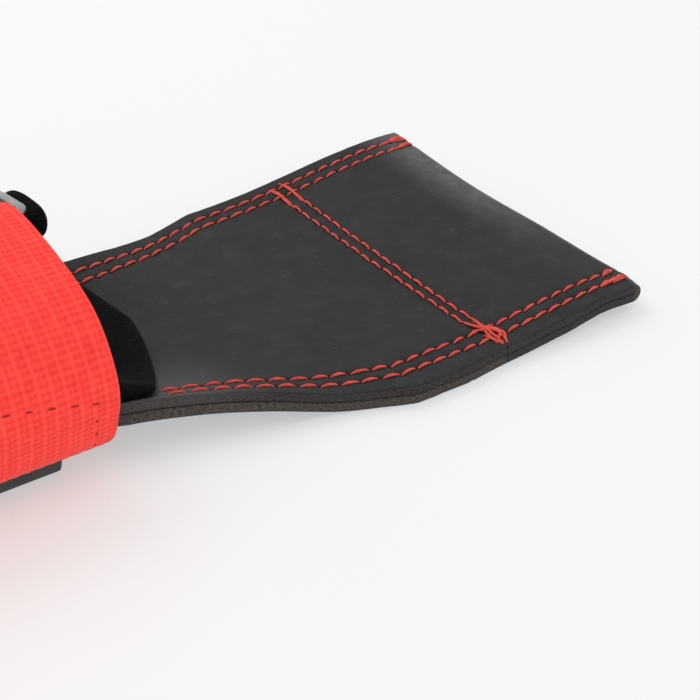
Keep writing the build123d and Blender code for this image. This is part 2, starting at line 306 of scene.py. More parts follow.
def pits(u, v):
    """How deep in a needle hole each point of the leather's face is, from 0 to 1."""
    deep = np.zeros(u.shape)
    for hole_u, hole_v in HOLES:
        close = (np.abs(u - hole_u) < 2.0) & (np.abs(v - hole_v) < 2.0)
        if close.any():
            gap = (u[close] - hole_u) ** 2 + (v[close] - hole_v) ** 2
            deep[close] = np.maximum(deep[close], np.exp(-gap / (2 * PIT_RADIUS ** 2)))
    return deep


def row_press(u, v):
    """How strongly the thread rows press the leather down, from 0 to 1."""
    inset = half_width(u) - np.abs(v)
    pressed = np.zeros(u.shape)
    for row in EDGE_ROWS:
        pressed = np.maximum(pressed, np.exp(-((inset - row) / PRESS_WIDTH) ** 2) * (u > 8))
    for step in (-1, 1):
        away = u - SEAM_SKEW * v - SEAM_U - step * seam_gap(v)
        pressed = np.maximum(pressed, np.exp(-(away / PRESS_WIDTH) ** 2) * (np.abs(v) < 42))
    return pressed


# ---- leather layers: closed loops across the flap, lofted along it ----

# columns of points in from each edge, closest together under the thread rows
FINE_INSETS = (0.5, 0.9, 1.6, 2.6, 3.4, 3.9, 4.25, 4.6, 4.95, 5.3, 5.9, 6.7, 7.5, 8.1, 8.45, 8.8, 9.15, 9.5,
               10.1, 11.2)
# a rim's points: inset, height as a share of the layer's half thickness, rawness of the cut
RIM = ((0.22, 0.97, 0.1), (0.07, 0.84, 0.5), (0.0, 0.6, 1.0), (0.03, 0.3, 1.0), (0.0, 0.0, 1.0),
       (0.03, -0.35, 1.0), (0.02, -0.68, 1.0), (0.12, -0.9, 1.0), (0.35, -1.0, 1.0))


def layer_loop(middle_columns):
    """One loop round a layer as rows of side, inset, fraction, height and rawness."""
    last = FINE_INSETS[-1]
    rows = [(-1, inset, 0, 1, 0) for inset in FINE_INSETS]
    rows += [(0, last, f, 1, 0) for f in np.linspace(-1, 1, middle_columns + 1)[1:-1]]
    rows += [(1, inset, 0, 1, 0) for inset in reversed(FINE_INSETS)]
    rows += [(1, inset, 0, height, raw) for inset, height, raw in RIM]
    rows += [(1, inset, 0, -1, 0) for inset in (3.0, last)]
    rows += [(0, last, f, -1, 0) for f in np.linspace(1, -1, 17)[1:-1]]
    rows += [(-1, inset, 0, -1, 0) for inset in (last, 3.0)]
    rows += [(-1, inset, 0, height, raw) for inset, height, raw in reversed(RIM)]
    return np.array(rows, float)


def leather_layer(name, stations, middle_columns, seed):
    """stations hold u, lift of the layer's middle, and its outward way in u and lift."""
    loop = layer_loop(middle_columns)
    side, inset, fraction, height, raw = (loop[:, i] for i in range(5))
    station_u, middle, out_u, out_lift = (np.array(stations, float)[:, i][:, None] for i in range(4))
    wide = half_width(station_u)
    ragged = fractal([(u, seed, 0) for u in station_u.ravel()], 3.5)[:, None] * 0.1
    ragged = ragged + fractal([(u, seed, 9) for u in station_u.ravel()], 11.0)[:, None] * 0.12
    ragged = ragged * np.where(out_u > 0.1, 0.3, 1)
    v = np.where(side == 0, fraction * (wide - inset), side * (wide - inset + ragged * (inset < 3)))
    rough = np.zeros(v.shape)
    wall = raw > 0.4
    grain = [(u, h * 1.6, seed + s) for u in station_u.ravel() for s, h in zip(side[wall], height[wall])]
    rough[:, wall] = fractal(grain, 0.9).reshape(len(station_u), -1) * 0.11
    v = v + side * rough
    u = station_u + seam_skew(station_u) * v
    face = (height == 1)[None, :]
    deep = np.where(face, pits(u, v), 0)
    press = np.where(face, row_press(u, v), 0)
    out = height * LAYER_HALF - PRESS_DEPTH * press - PIT_DEPTH * deep
    points = leather(u + out_u * out, v, middle + out_lift * out)
    faces, caps = loft_faces(len(stations), len(loop))
    along = np.cumsum(np.concatenate([[0], np.hypot(np.diff(station_u.ravel()), np.diff(middle.ravel()))]))
    spread = np.cumsum(np.concatenate([[0], np.hypot(np.diff(v[0]), np.diff(height) * LAYER_HALF)]))
    uv = np.stack([np.broadcast_to((along + station_u[0])[:, None], v.shape),
                   np.where(face, v, spread[None, :] + 200)], -1) / 100
    values = {"pit": deep, "raw": np.broadcast_to(raw, v.shape), "press": press,
              "along": np.broadcast_to(station_u, v.shape) / 100, "across": v / 100}
    return make_object(name, points.reshape(-1, 3), faces, caps, uv.reshape(-1, 2), values)


def spaced(start, end, step):
    return list(np.linspace(start, end, max(2, round((end - start) / step) + 1)))


# stations along the flap, coarse inside the cuff and closest together under the cross seam
SEAM_STEPS = (0.0, 0.5, 1.0, 1.35, 1.7, 2.0, 2.3, 2.65, 3.0, 3.5)
SEAM_CLEAR = 4.1
FLAP_BACK_U = -58
OPEN_U = 8
FINE_STEP = 0.62
TIP_BEND_U = FLAP_LENGTH - HALF_LEATHER
NECK_RUN = spaced(FLAP_BACK_U, OPEN_U, 3.0)[:-1] + spaced(OPEN_U, SEAM_U - SEAM_CLEAR, FINE_STEP)
NECK_RUN += [SEAM_U - s for s in reversed(SEAM_STEPS)]
TIP_RUN = [SEAM_U + s for s in SEAM_STEPS] + spaced(SEAM_U + SEAM_CLEAR, TIP_BEND_U, FINE_STEP)


# ---- materials ----

class Paint:
    """Builds one node material, with short names for the nodes it uses most."""

    def __init__(self, name):
        self.material = bpy.data.materials.new(name)
        self.material.use_nodes = True
        self.tree = self.material.node_tree
        self.shader = next(n for n in self.tree.nodes if n.type == "BSDF_PRINCIPLED")

    def node(self, kind, links=None, **settings):
        made = self.tree.nodes.new(kind)
        for key, value in settings.items():
            setattr(made, key, value)
        for key, value in (links or {}).items():
            self.feed(made.inputs[key], value)
        return made

    def feed(self, socket, value):
        if isinstance(value, bpy.types.NodeSocket):
            self.tree.links.new(value, socket)
        else:
            socket.default_value = value

    def uv(self, scale=(1, 1, 1), turn=0.0):
        spot = self.node("ShaderNodeUVMap", uv_map="surface").outputs[0]
        links = {"Vector": spot, "Scale": scale, "Rotation": (0, 0, turn)}
        return self.node("ShaderNodeMapping", links).outputs[0]

    def place(self, scale=(1, 1, 1)):
        spot = self.node("ShaderNodeTexCoord").outputs["Object"]
        return self.node("ShaderNodeMapping", {"Vector": spot, "Scale": scale}).outputs[0]

    def value(self, name):
        return self.node("ShaderNodeAttribute", attribute_name=name).outputs["Fac"]

    def noise(self, vector, scale, detail=3.0, rough=0.5):
        return self.node("ShaderNodeTexNoise", {"Vector": vector, "Scale": scale, "Detail": detail,
                                                "Roughness": rough}).outputs["Fac"]

    def cells(self, vector, scale):
        return self.node("ShaderNodeTexVoronoi", {"Vector": vector, "Scale": scale}).outputs["Distance"]

    def wave(self, vector, scale, distortion):
        links = {"Vector": vector, "Scale": scale, "Distortion": distortion}
        return self.node("ShaderNodeTexWave", links).outputs["Fac"]

    def math(self, how, a, b=0.0):
        made = self.node("ShaderNodeMath", operation=how)
        for socket, value in zip(made.inputs, (a, b)):
            self.feed(socket, value)
        return made.outputs[0]

    def times(self, a, b):
        return self.math("MULTIPLY", a, b)

    def span(self, value, low, high, to_low=0.0, to_high=1.0):
        return self.node("ShaderNodeMapRange", {"Value": value, "From Min": low, "From Max": high,
                                                "To Min": to_low, "To Max": to_high},
                         interpolation_type="SMOOTHSTEP").outputs[0]

    def mix(self, share, a, b):
        made = self.node("ShaderNodeMix", data_type="RGBA")
        self.feed(made.inputs["Factor"], share)
        for key, value in (("A", a), ("B", b)):
            socket = next(s for s in made.inputs if s.name == key and s.type == "RGBA")
            self.feed(socket, value if isinstance(value, bpy.types.NodeSocket) else (*value, 1.0))
        return next(s for s in made.outputs if s.type == "RGBA")

    def bump(self, height, distance, strength=1.0, under=None):
        links = {"Height": height, "Distance": distance, "Strength": strength}
        if under is not None:
            links["Normal"] = under
        return self.node("ShaderNodeBump", links).outputs[0]

    def set(self, **values):
        names = {"color": "Base Color", "specular": "Specular IOR Level", "sheen": "Sheen Weight"}
        for key, value in values.items():
            if isinstance(value, tuple) and len(value) == 3:
                value = (*value, 1.0)
            self.feed(self.shader.inputs[names.get(key, key.replace("_", " ").title())], value)
        return self.material


def leather_material(name, raw_share, top):
    p = Paint(name)
    spot = p.uv()
    clouds = p.noise(spot, 5.0, 5.0, 0.6)
    blotches = p.noise(spot, 17.0, 4.0, 0.65)
    grain = p.noise(spot, 260.0, 3.0, 0.6)
    pores = p.cells(spot, 190.0)
    dark = (0.011, 0.011, 0.0113) if top else (0.012, 0.012, 0.012)
    light = (0.022, 0.022, 0.0223) if top else (0.022, 0.022, 0.022)
    color = p.mix(p.span(clouds, 0.38, 0.66), dark, light)
    color = p.mix(p.times(p.span(blotches, 0.48, 0.76), 0.4), color, (0.04, 0.04, 0.041))
    fibre = p.noise(p.uv((1.0, 2.5, 1)), 120.0, 4.0, 0.7)
    scratch_noise = p.noise(p.uv((1.0, 3.2, 1), 0.5), 14.0, 2.0, 0.5)
    line = p.span(p.math("ABSOLUTE", p.math("SUBTRACT", scratch_noise, 0.5)), 0.0, 0.006, 1.0, 0.0)
    where = p.span(p.noise(spot, 6.0, 2.0), 0.56, 0.7)
    scratch = p.times(line, where)
    color = p.mix(p.times(scratch, 0.45), color, (0.085, 0.085, 0.085))
    # "along" and "across" are u and v in decimetres
    # painted highlight: the far half of the tip, next to the fold, is painted lighter where the fold catches
    # the light
    painted_tip_highlight = p.times(p.span(p.value("along"), 1.27, 1.445), p.span(p.value("across"), -0.42, 0.3))
    painted_tip_highlight = p.times(painted_tip_highlight, p.span(blotches, 0.3, 0.7, 0.5, 1.0))
    fold_rim = p.times(p.span(p.value("along"), 1.424, 1.438), p.span(fibre, 0.3, 0.7, 0.3, 1.0))
    worn_neck = p.times(p.span(p.value("along"), 0.42, 0.2), p.span(p.value("across"), -0.05, -0.26))
    color = p.mix(p.times(painted_tip_highlight, 0.7), color, (0.16, 0.158, 0.156))
    color = p.mix(p.times(fold_rim, 0.6), color, (0.17, 0.135, 0.11))
    color = p.mix(p.times(worn_neck, 0.4), color, (0.12, 0.12, 0.118))
    color = p.mix(p.times(p.value("press"), 0.35), color, (0.016, 0.016, 0.017))
    cut = p.mix(p.span(fibre, 0.35, 0.68), (0.024, 0.021, 0.0195), (0.118, 0.103, 0.091))
    color = p.mix(p.times(p.value("raw"), raw_share), color, cut)
    # painted shade: the needle holes are painted near black, for the shade inside them
    color = p.mix(p.span(p.value("pit"), 0.12, 0.6), color, (0.003, 0.002, 0.002))
    roughness = p.math("ADD", p.span(clouds, 0.3, 0.7, 0.5, 0.66), p.times(p.value("raw"), 0.25))
    normal = p.bump(grain, 0.00009, 0.6)
    normal = p.bump(pores, 0.00012, 0.45, normal)
    normal = p.bump(p.times(fibre, p.value("raw")), 0.0005, 0.8, normal)
    return p.set(color=color, roughness=roughness, normal=normal, specular=0.2)


def thread_material(name, color, dark, shine=0.35):
    p = Paint(name)
    spot = p.uv()
    strands = p.wave(p.uv((1.0, 1.0, 1), 0.6), 60.0, 0.6)
    shade = p.noise(p.place(), 420.0, 2.0)
    tone = p.mix(p.times(strands, p.span(shade, 0.3, 0.7, 0.5, 1.0)), dark, color)
    normal = p.bump(p.noise(spot, 300.0, 2.0), 0.00008, 0.6, p.bump(strands, 0.0001, 0.5))
    return p.set(color=tone, roughness=0.55, normal=normal, specular=shine, sheen=0.08)


def webbing_material(name, bright, dark, rib, weft):
    """Ribs run along the strap and the fine weft crosses them; the surface map is in decimetres."""
    p = Paint(name)
    spot = p.uv()
    flat = p.node("ShaderNodeSeparateXYZ", {"Vector": spot})
    across, along = flat.outputs[0], flat.outputs[1]

    def waves(place, pitch, wander, seed_scale):
        bent = p.times(p.math("SUBTRACT", p.noise(spot, seed_scale, 2.0), 0.5), wander)
        turn = p.times(p.math("ADD", place, bent), 2 * math.pi * 100 / pitch)
        return p.math("ADD", p.times(p.math("COSINE", turn), 0.5), 0.5)

    ribs = waves(across, rib, 0.006, 30.0)
    fine = waves(across, rib / 2, 0.004, 41.0)
    wefts = waves(along, weft, 0.009, 14.0)
    yarn = p.noise(p.uv((5.0, 1.0, 1)), 110.0, 3.0, 0.6)
    fuzz = p.noise(p.place(), 1500.0, 2.0)
    patchy = p.noise(spot, 26.0, 3.0, 0.6)
    weave = p.math("ADD", p.times(ribs, 0.19), p.times(fine, 0.22))
    weave = p.math("ADD", weave, p.times(wefts, 0.25))
    weave = p.math("ADD", weave, p.times(p.math("SUBTRACT", yarn, 0.5), 0.8))
    weave = p.math("ADD", weave, p.times(p.math("SUBTRACT", patchy, 0.5), 0.6))
    color = p.mix(p.span(weave, -0.05, 0.72), dark, bright)
    normal = p.bump(ribs, 0.00012, 0.4)
    normal = p.bump(fine, 0.00008, 0.5, normal)
    normal = p.bump(wefts, 0.0001, 0.5, normal)
    normal = p.bump(p.math("ADD", yarn, p.times(fuzz, 0.4)), 0.00008, 0.6, normal)
    return p.set(color=color, roughness=0.8, normal=normal, specular=0.1, sheen=0.05)


def knit_material(name):
    p = Paint(name)
    spot = p.place()
    loops = p.cells(spot, 1500.0)
    fuzz = p.noise(spot, 900.0, 4.0, 0.7)
    soft = p.noise(spot, 60.0, 3.0)
    color = p.mix(fuzz, (0.0025, 0.0025, 0.0025), (0.007, 0.0068, 0.0065))
    color = p.mix(p.times(p.span(soft, 0.45, 0.8), 0.4), color, (0.012, 0.0115, 0.011))
    normal = p.bump(p.math("ADD", loops, fuzz), 0.00025, 0.8)
    return p.set(color=color, roughness=0.95, normal=normal, specular=0.04, sheen=0.02,
                 sheen_roughness=0.4)


def rubber_material(name, color, rough=0.6):
    p = Paint(name)
    spot = p.place()
    cloud = p.noise(spot, 120.0, 3.0)
    fine = p.noise(spot, 1400.0, 2.0)
    tone = p.mix(p.span(cloud, 0.3, 0.7), tuple(c * 0.75 for c in color), tuple(c * 1.25 for c in color))
    return p.set(color=tone, roughness=p.span(cloud, 0.2, 0.8, rough - 0.08, rough + 0.08),
                 normal=p.bump(fine, 0.00005, 0.5), specular=0.4)


def steel_material(name):
    p = Paint(name)
    spot = p.place()
    brushed = p.noise(p.place((1, 14, 14)), 220.0, 3.0)
    smudge = p.noise(spot, 90.0, 3.0)
    tone = p.mix(p.span(smudge, 0.35, 0.7), (0.27, 0.27, 0.275), (0.42, 0.42, 0.425))
    return p.set(color=tone, metallic=1.0, roughness=p.span(brushed, 0.3, 0.7, 0.24, 0.4),
                 normal=p.bump(brushed, 0.00002, 0.4))


# the red strap's weave, the same in its geometry and its material
RIB_PITCH = 2.6
WEFT_PITCH = 1.48

LEATHER_TOP = leather_material("oiled_leather_top", 0.45, True)
LEATHER_BOTTOM = leather_material("oiled_leather_bottom", 0.95, False)
RED_THREAD = thread_material("red_thread", (0.94, 0.115, 0.065), (0.5, 0.022, 0.018))
DARK_RED_THREAD = thread_material("dark_red_thread", (0.5, 0.02, 0.02), (0.32, 0.012, 0.012), 0.1)
BLACK_THREAD = thread_material("black_thread", (0.03, 0.03, 0.03), (0.008, 0.008, 0.008))
RED_WEBBING = webbing_material("red_webbing", (0.9615, 0.0787, 0.05985), (0.8285, 0.0353, 0.03115), RIB_PITCH,
                               WEFT_PITCH)
BLACK_WEBBING = webbing_material("black_webbing", (0.035, 0.035, 0.036), (0.006, 0.006, 0.006), 2.2, 1.3)
KNIT = knit_material("fleecy_knit")
RUBBER = rubber_material("matte_rubber", (0.028, 0.028, 0.029))
HOOK = rubber_material("hook_tape", (0.02, 0.02, 0.021), 0.45)
LOOP = knit_material("loop_pile")
STEEL = steel_material("nickel_steel")

# ---- the flap ----

upper = leather_layer("flap_upper_leather", [(u, LAYER_MIDDLE, 0, 1) for u in NECK_RUN], 92, 1.0)
lower = leather_layer("flap_lower_leather", [(u, -LAYER_MIDDLE, 0, -1) for u in NECK_RUN], 40, 5.0)
bend = [(TIP_BEND_U + LAYER_MIDDLE * math.sin(a), LAYER_MIDDLE * math.cos(a), math.sin(a), math.cos(a))
        for a in np.linspace(0, math.pi, 15)[1:-1]]
tip_stations = [(u, LAYER_MIDDLE, 0, 1) for u in TIP_RUN] + bend
tip_stations += [(u, -LAYER_MIDDLE, 0, -1) for u in reversed(TIP_RUN)]
tip = leather_layer("tip_leather_fold", tip_stations, 92, 9.0)
finish_piece(upper, LEATHER_TOP,
             replaces=("neck_upper_layer", "palm_upper_layer", "flap_anchor"))
finish_piece(lower, LEATHER_BOTTOM, replaces=("neck_lower_layer", "palm_lower_layer"))
finish_piece(tip, LEATHER_TOP, replaces=("tip_leather",))


def across_palm(thing):
    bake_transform(thing)


def across_tip(thing):
    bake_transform(thing)


# ---- thread: two plies twisted into a tube along each path ----

TUBE_SIDES = 10
PLY_TWIST = 1.1
PLY_DEPTH = 0.2
END_TAPER = 0.6
LOWEST_THREAD = 0.03


def tube(path, radius):
    """A closed tube with a two-ply outline, turning as it runs along the path, thinner at its ends."""
    path = np.asarray(path, float)
    way = np.gradient(path, axis=0)
    way /= np.linalg.norm(way, axis=1)[:, None]
    across = np.cross(way, (0.0, 0.0, 1.0))
    across /= np.maximum(np.linalg.norm(across, axis=1), 1e-6)[:, None]
    up = np.cross(across, way)
    run = np.concatenate([[0], np.cumsum(np.linalg.norm(np.diff(path, axis=0), axis=1))])
    turn = np.linspace(0, 2 * math.pi, TUBE_SIDES, endpoint=False)[None, :]
    ply = 1 - PLY_DEPTH + PLY_DEPTH * np.abs(np.cos(turn - run[:, None] * PLY_TWIST))
    taper = 1 - END_TAPER * (1 - np.sin(math.pi * np.clip(run / run[-1], 0.01, 0.99)) ** 0.7)
    size = (radius * taper)[:, None] * ply
    points = path[:, None] + size[..., None] * (np.cos(turn)[..., None] * across[:, None]
                                                + np.sin(turn)[..., None] * up[:, None])
    uv = np.stack(np.broadcast_arrays(run[:, None], turn * radius), -1) / 100
    return points.reshape(-1, 3), uv.reshape(-1, 2)


def thread_object(name, paths, radius):
    points, maps, faces, caps = [], [], [], []
    for path in paths:
        spots, uv = tube(path, radius)
        quads, ends = loft_faces(len(path), TUBE_SIDES, sum(len(p) for p in points))
        points.append(spots)
        maps.append(uv)
        faces += quads
        caps += ends
    spots = np.concatenate(points)
    spots[:, 2] = np.maximum(spots[:, 2], LOWEST_THREAD)
    return make_object(name, spots, faces, caps, np.concatenate(maps))


THREAD_RADIUS = 0.38


def stitch_paths(stitches, top):
    """Each stitch comes up out of one hole, arches over the leather and dips into the next."""
    t = np.linspace(0, 1, 13)
    arch = np.sin(math.pi * t) ** 0.55
    paths = []
    for (u0, v0), (u1, v1) in stitches:
        u = u0 + (u1 - u0) * t
        v = v0 + (v1 - v0) * t
        lift = HALF_LEATHER - 0.42 + (0.58 + rng.normal(0, 0.04)) * arch
        if top < 0:
            lift = HALF_LEATHER - 0.75 + 0.55 * arch
        paths.append(leather(u, v, top * lift))
    return paths


def both_faces(stitches):
    """The rows on top, and the same rows underneath, pulled in almost flush with the leather."""
    return stitch_paths(stitches, 1) + stitch_paths(stitches, -1)


def strand(points):
    """A loose strand laid over the leather through points of u, v and height above it."""
    points = np.array(points, float)
    knots = np.arange(len(points))
    t = np.linspace(0, len(points) - 1, 9 * (len(points) - 1) + 1)
    tangents = np.gradient(points, axis=0)
    i = np.minimum(t.astype(int), len(points) - 2)
    f = (t - knots[i])[:, None]
    a, b, da, db = points[i], points[i + 1], tangents[i], tangents[i + 1]
    line = ((2 * f ** 3 - 3 * f ** 2 + 1) * a + (f ** 3 - 2 * f ** 2 + f) * da
            + (3 * f ** 2 - 2 * f ** 3) * b + (f ** 3 - f ** 2) * db)
    over_fold = np.clip(line[:, 0] - TIP_BEND_U, 0, HALF_LEATHER)
    top = np.sqrt(HALF_LEATHER ** 2 - over_fold ** 2)
    return leather(line[:, 0], line[:, 1], top + line[:, 2])


for word in ("near", "far"):
    edge = ROWS["edge_stitching_" + word]
    piece = thread_object("edge_stitching_" + word, both_faces(edge), THREAD_RADIUS)
    finish_piece(piece, RED_THREAD,
                 replaces=("neck_stitching_" + word, "palm_stitching_" + word))
    across_palm(piece)
across_palm(upper)
across_palm(lower)

# loose strands where the rows end, as points of u, v and height
TACKS = {
    "near": [[(133.2, -47.4, -0.3), (135.6, -46.8, 0.3), (138.2, -47.5, 0.35), (140.4, -46.8, 0.3),
              (142.2, -47.5, 0.0)],
             [(133.8, -46.8, -0.2), (136.2, -47.6, 0.4), (138.8, -46.8, 0.45), (141.0, -47.7, 0.3),
              (142.4, -46.9, -0.1)],
             [(136.0, -46.6, 0.2), (138.6, -47.3, 0.6), (141.2, -46.5, 0.5), (142.8, -48.2, 0.2)],
             [(138.4, -43.3, -0.3), (140.0, -42.6, 0.35), (141.6, -43.2, 0.1)],
             [(138.9, -42.7, -0.2), (140.8, -43.4, 0.4), (142.2, -42.4, 0.0)]],
    "far": [[(137.8, 43.7, -0.3), (140.0, 43.1, 0.3), (142.2, 43.8, 0.35), (144.4, 43.3, 0.2)],
            [(138.6, 43.1, -0.2), (141.0, 43.9, 0.4), (143.2, 43.2, 0.4), (144.8, 44.0, 0.0)],
            [(137.0, 48.2, -0.3), (139.4, 47.5, 0.3), (142.0, 48.2, 0.4), (144.6, 47.6, 0.2)],
            [(138.0, 47.5, -0.2), (140.8, 48.3, 0.45), (143.2, 47.4, 0.4), (144.9, 48.3, 0.0)],
            [(140.2, 47.2, 0.1), (142.4, 46.3, 0.5), (144.9, 46.5, 0.2)]],
}
for word in ("near", "far"):
    rows = ROWS["tip_stitching_" + word]
    paths = both_faces(rows) + [strand(tack) for tack in TACKS[word]]
    piece = thread_object("tip_stitching_" + word, paths, THREAD_RADIUS)
    finish_piece(piece, RED_THREAD, replaces=("tip_stitching_" + word,))
    across_tip(piece)
across_tip(tip)

SEAM_ENDS = [
    [(99.8, 35.8, -0.3), (99.9, 39.0, 0.25), (99.6, 44.0, 0.45), (99.4, 49.2, 0.05)],
    [(99.5, 37.2, -0.2), (99.6, 41.5, 0.45), (99.9, 45.5, 0.5), (99.1, 48.4, 0.2)],
    [(95.9, 35.6, -0.3), (95.9, 39.0, 0.25), (95.6, 43.5, 0.45), (95.2, 47.8, 0.05)],
    [(95.6, 37.0, -0.2), (95.6, 41.0, 0.45), (95.9, 44.6, 0.5), (95.3, 47.2, 0.2)],
    [(98.8, -35.6, -0.3), (98.7, -38.6, 0.25), (98.0, -42.0, 0.4), (96.9, -45.4, 0.45), (96.4, -49.6, 0.1)],
    [(96.4, -36.4, -0.3), (96.5, -39.6, 0.25), (97.6, -43.0, 0.55), (99.4, -46.2, 0.6), (98.9, -50.0, 0.15)],
    [(98.5, -38.4, -0.1), (98.2, -42.6, 0.6), (97.6, -46.6, 0.65), (97.8, -50.2, 0.1)],
    [(95.5, -41.6, -0.1), (97.0, -43.8, 0.7), (99.0, -45.0, 0.75), (100.2, -47.6, 0.5), (98.4, -50.6, 0.1)],
    [(96.2, -42.8, 0.1), (98.4, -43.4, 0.75), (99.9, -46.6, 0.6), (97.2, -49.0, 0.4)],
    [(96.0, -45.2, 0.1), (96.3, -47.6, 0.5), (97.3, -50.6, 0.1)],
]
seam = ROWS["cross_seam_stitching"]
paths = both_faces(seam) + [strand(end) for end in SEAM_ENDS]
piece = thread_object("cross_seam_stitching", paths, THREAD_RADIUS)
finish_piece(piece, RED_THREAD, "palm", ("cross_seam_stitching",))


# ---- webbing: a band of closed loops across u, lofted along a path in the YZ plane ----

def oval_path(oval, depth, start, end):
    turns = np.linspace(turn_of(oval, start), turn_of(oval, end), 400)
    return oval_point(oval, turns, depth)[0]


def arc_path(centre, radius, start, end):
    angles = np.radians(np.linspace(start, end, 60))
    return np.stack([centre[0] + radius * np.cos(angles), centre[1] + radius * np.sin(angles)], -1)


def resample(path, step):
    run = np.concatenate([[0], np.cumsum(np.hypot(*np.diff(path, axis=0).T))])
    spots = np.linspace(0, run[-1], max(3, round(run[-1] / step) + 1))
    line = np.stack([np.interp(spots, run, path[:, i]) for i in (0, 1)], -1)
    way = np.gradient(line, axis=0)
    way /= np.hypot(*way.T)[:, None]
    return line, np.stack([-way[:, 1], way[:, 0]], -1), spots


LOWEST_BAND = 0.02


def band_object(name, path, low_u, high_u, thickness, pitch, ridge, step, column, weft=None, start=0.0,
                round_end=0.0, skewed=False):
    """path is the band's middle and start how far along the webbing it begins; pitch is from rib to rib,
    weft from one cross yarn to the next, and ridge how far they stand up on both faces."""
    line, side, run = resample(path, step)
    columns = np.linspace(low_u + 1.0, high_u - 1.0, round((high_u - low_u - 2) / column) + 1)
    rim_inset = np.array([0.55, 0.2, 0.0, 0.0, 0.2, 0.55])
    rim_height = np.array([0.48, 0.36, 0.18, -0.18, -0.36, -0.48])
    u = np.concatenate([columns, high_u - rim_inset, columns[::-1], low_u + rim_inset])
    top = np.full(len(columns), 0.5)
    height = np.concatenate([top, rim_height, -top, -rim_height]) * thickness
    on_face = np.where(np.abs(height) == 0.5 * thickness, np.sign(height), 0)
    rib = 0.55 * np.cos(2 * math.pi * u / pitch) + 0.3 * np.cos(4 * math.pi * u / pitch) - 0.35
    along = run[:, None] + start
    if weft:
        rib = rib + 0.35 * np.cos(2 * math.pi * along / weft)
    tall = height + on_face * ridge * rib + 0 * along
    wander = fractal([(0, s, 3.0) for s in run], 14.0)[:, None] * 0.22
    at_u = u + wander * (on_face == 0)
    if skewed:
        at_u = at_u + 0.8 - 1.2 * smooth((along - 35) / 45)
    if round_end:
        shrink = round_end - np.sqrt(np.maximum(0, round_end ** 2 - np.clip(round_end - run, 0, None) ** 2))
        middle = (low_u + high_u) / 2
        at_u = middle + (at_u - middle) * (1 - shrink[:, None] / ((high_u - low_u) / 2))
    spot_y = line[:, None, 0] + side[:, None, 0] * tall
    spot_z = np.maximum(line[:, None, 1] + side[:, None, 1] * tall, LOWEST_BAND)
    points = np.stack([at_u - MID_U, spot_y, spot_z], -1)
    faces, caps = loft_faces(len(line), len(u))
    uv = np.stack([at_u, np.broadcast_to(along, tall.shape)], -1) / 100
    return make_object(name, points.reshape(-1, 3), faces, caps, uv.reshape(-1, 2))


BAND_MIDDLE = STRAP_THICKNESS / 2
WRAP_START = 97.0
MEET_Y, MEET_Z = -3.2, 43.5
RIB_COLUMN = 0.325
OUTER_WEAVE = {"pitch": RIB_PITCH, "ridge": 0.085, "step": 0.37, "column": RIB_COLUMN, "weft": WEFT_PITCH,
               "skewed": True}
tail_path = oval_path(TAIL, BAND_MIDDLE, TAIL_END, WRAP_START)
tail_length = resample(tail_path, 1.0)[2][-1]
tail = band_object("strap_tail", tail_path, STRAP_BACK, STRAP_FRONT, STRAP_THICKNESS, round_end=2.2,
                   **OUTER_WEAVE)
wrap_path = np.concatenate([oval_path(TAIL, BAND_MIDDLE, WRAP_START, 83.5), arc_path(RING_NEAR, 2.3, 88, -90),
                            [(MEET_Y, MEET_Z)]])
wrap = band_object("strap_wrap", wrap_path, STRAP_BACK, STRAP_FRONT, STRAP_THICKNESS, start=tail_length,
                   **OUTER_WEAVE)
# the pass against the wrist rises to meet the wrap under the ring's near bar, and stops there
base_path = oval_path(STRAP, BAND_MIDDLE, 357.5, 92.0)
near_ring = smooth((base_path[:, 0] + 17) / 13.8) * (base_path[:, 1] > 30) * (base_path[:, 0] < 5)
base_path[:, 1] += near_ring * (MEET_Z - base_path[-1, 1])
base_path = base_path[(base_path[:, 0] <= MEET_Y) | (base_path[:, 1] < 38)]
base = band_object("strap_base", base_path, STRAP_BACK, STRAP_FRONT, STRAP_THICKNESS, RIB_PITCH, 0.11, 0.8,
                   RIB_COLUMN)
finish_piece(tail, RED_WEBBING, "strap_tail", ("strap_tail",))
finish_piece(wrap, RED_WEBBING)
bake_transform(wrap)
finish_piece(base, RED_WEBBING, replaces=("strap_base",))
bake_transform(base)

# the keeper: webbing that wraps the ring's far bar and is sewn down on the pad
keeper_path = np.concatenate([oval_path(PAD, -2.0, 22.0, 37.0), arc_path(RING_FAR, 2.05, 20, 300),
                              oval_path(PAD, -0.75, 38.0, 22.0)])
KEEPER_HALF = 35
keeper = band_object("ring_keeper", keeper_path, STRAP_MIDDLE - KEEPER_HALF, STRAP_MIDDLE + KEEPER_HALF, 1.1,
                     2.2, 0.08, 0.5, 0.45)
finish_piece(keeper, BLACK_WEBBING, "root", ("ring_keeper",))


# ---- thread on the cuff ----

def oval_stitches(oval, depth, spans, arch):
    """Stitches over an oval's face: each is two ends of u and parametric angle in degrees."""
    t = np.linspace(0, 1, 9)
    paths = []
    for (u0, a0), (u1, a1) in spans:
        turn = np.radians(a0 + (a1 - a0) * t)
        rise = arch * np.sin(math.pi * t) ** 0.6 - 0.16
        spot, inward = oval_point(oval, turn, depth)
        spot = spot - inward * rise[:, None] * (1 if depth <= 0.5 else -1)
        paths.append(np.concatenate([(u0 + (u1 - u0) * t - MID_U)[:, None], spot], 1))
    return paths


HOOK_LOW, HOOK_HIGH = STRAP_BACK + 4.0, STRAP_FRONT - 4.0
HALF_DASH = 0.75


def hook_row(u):
    """The upper row of the hook patch's box of thread climbs a little towards the back."""
    return 183.4 - 16.0 * math.tanh(0.04 * (HOOK_HIGH - u))


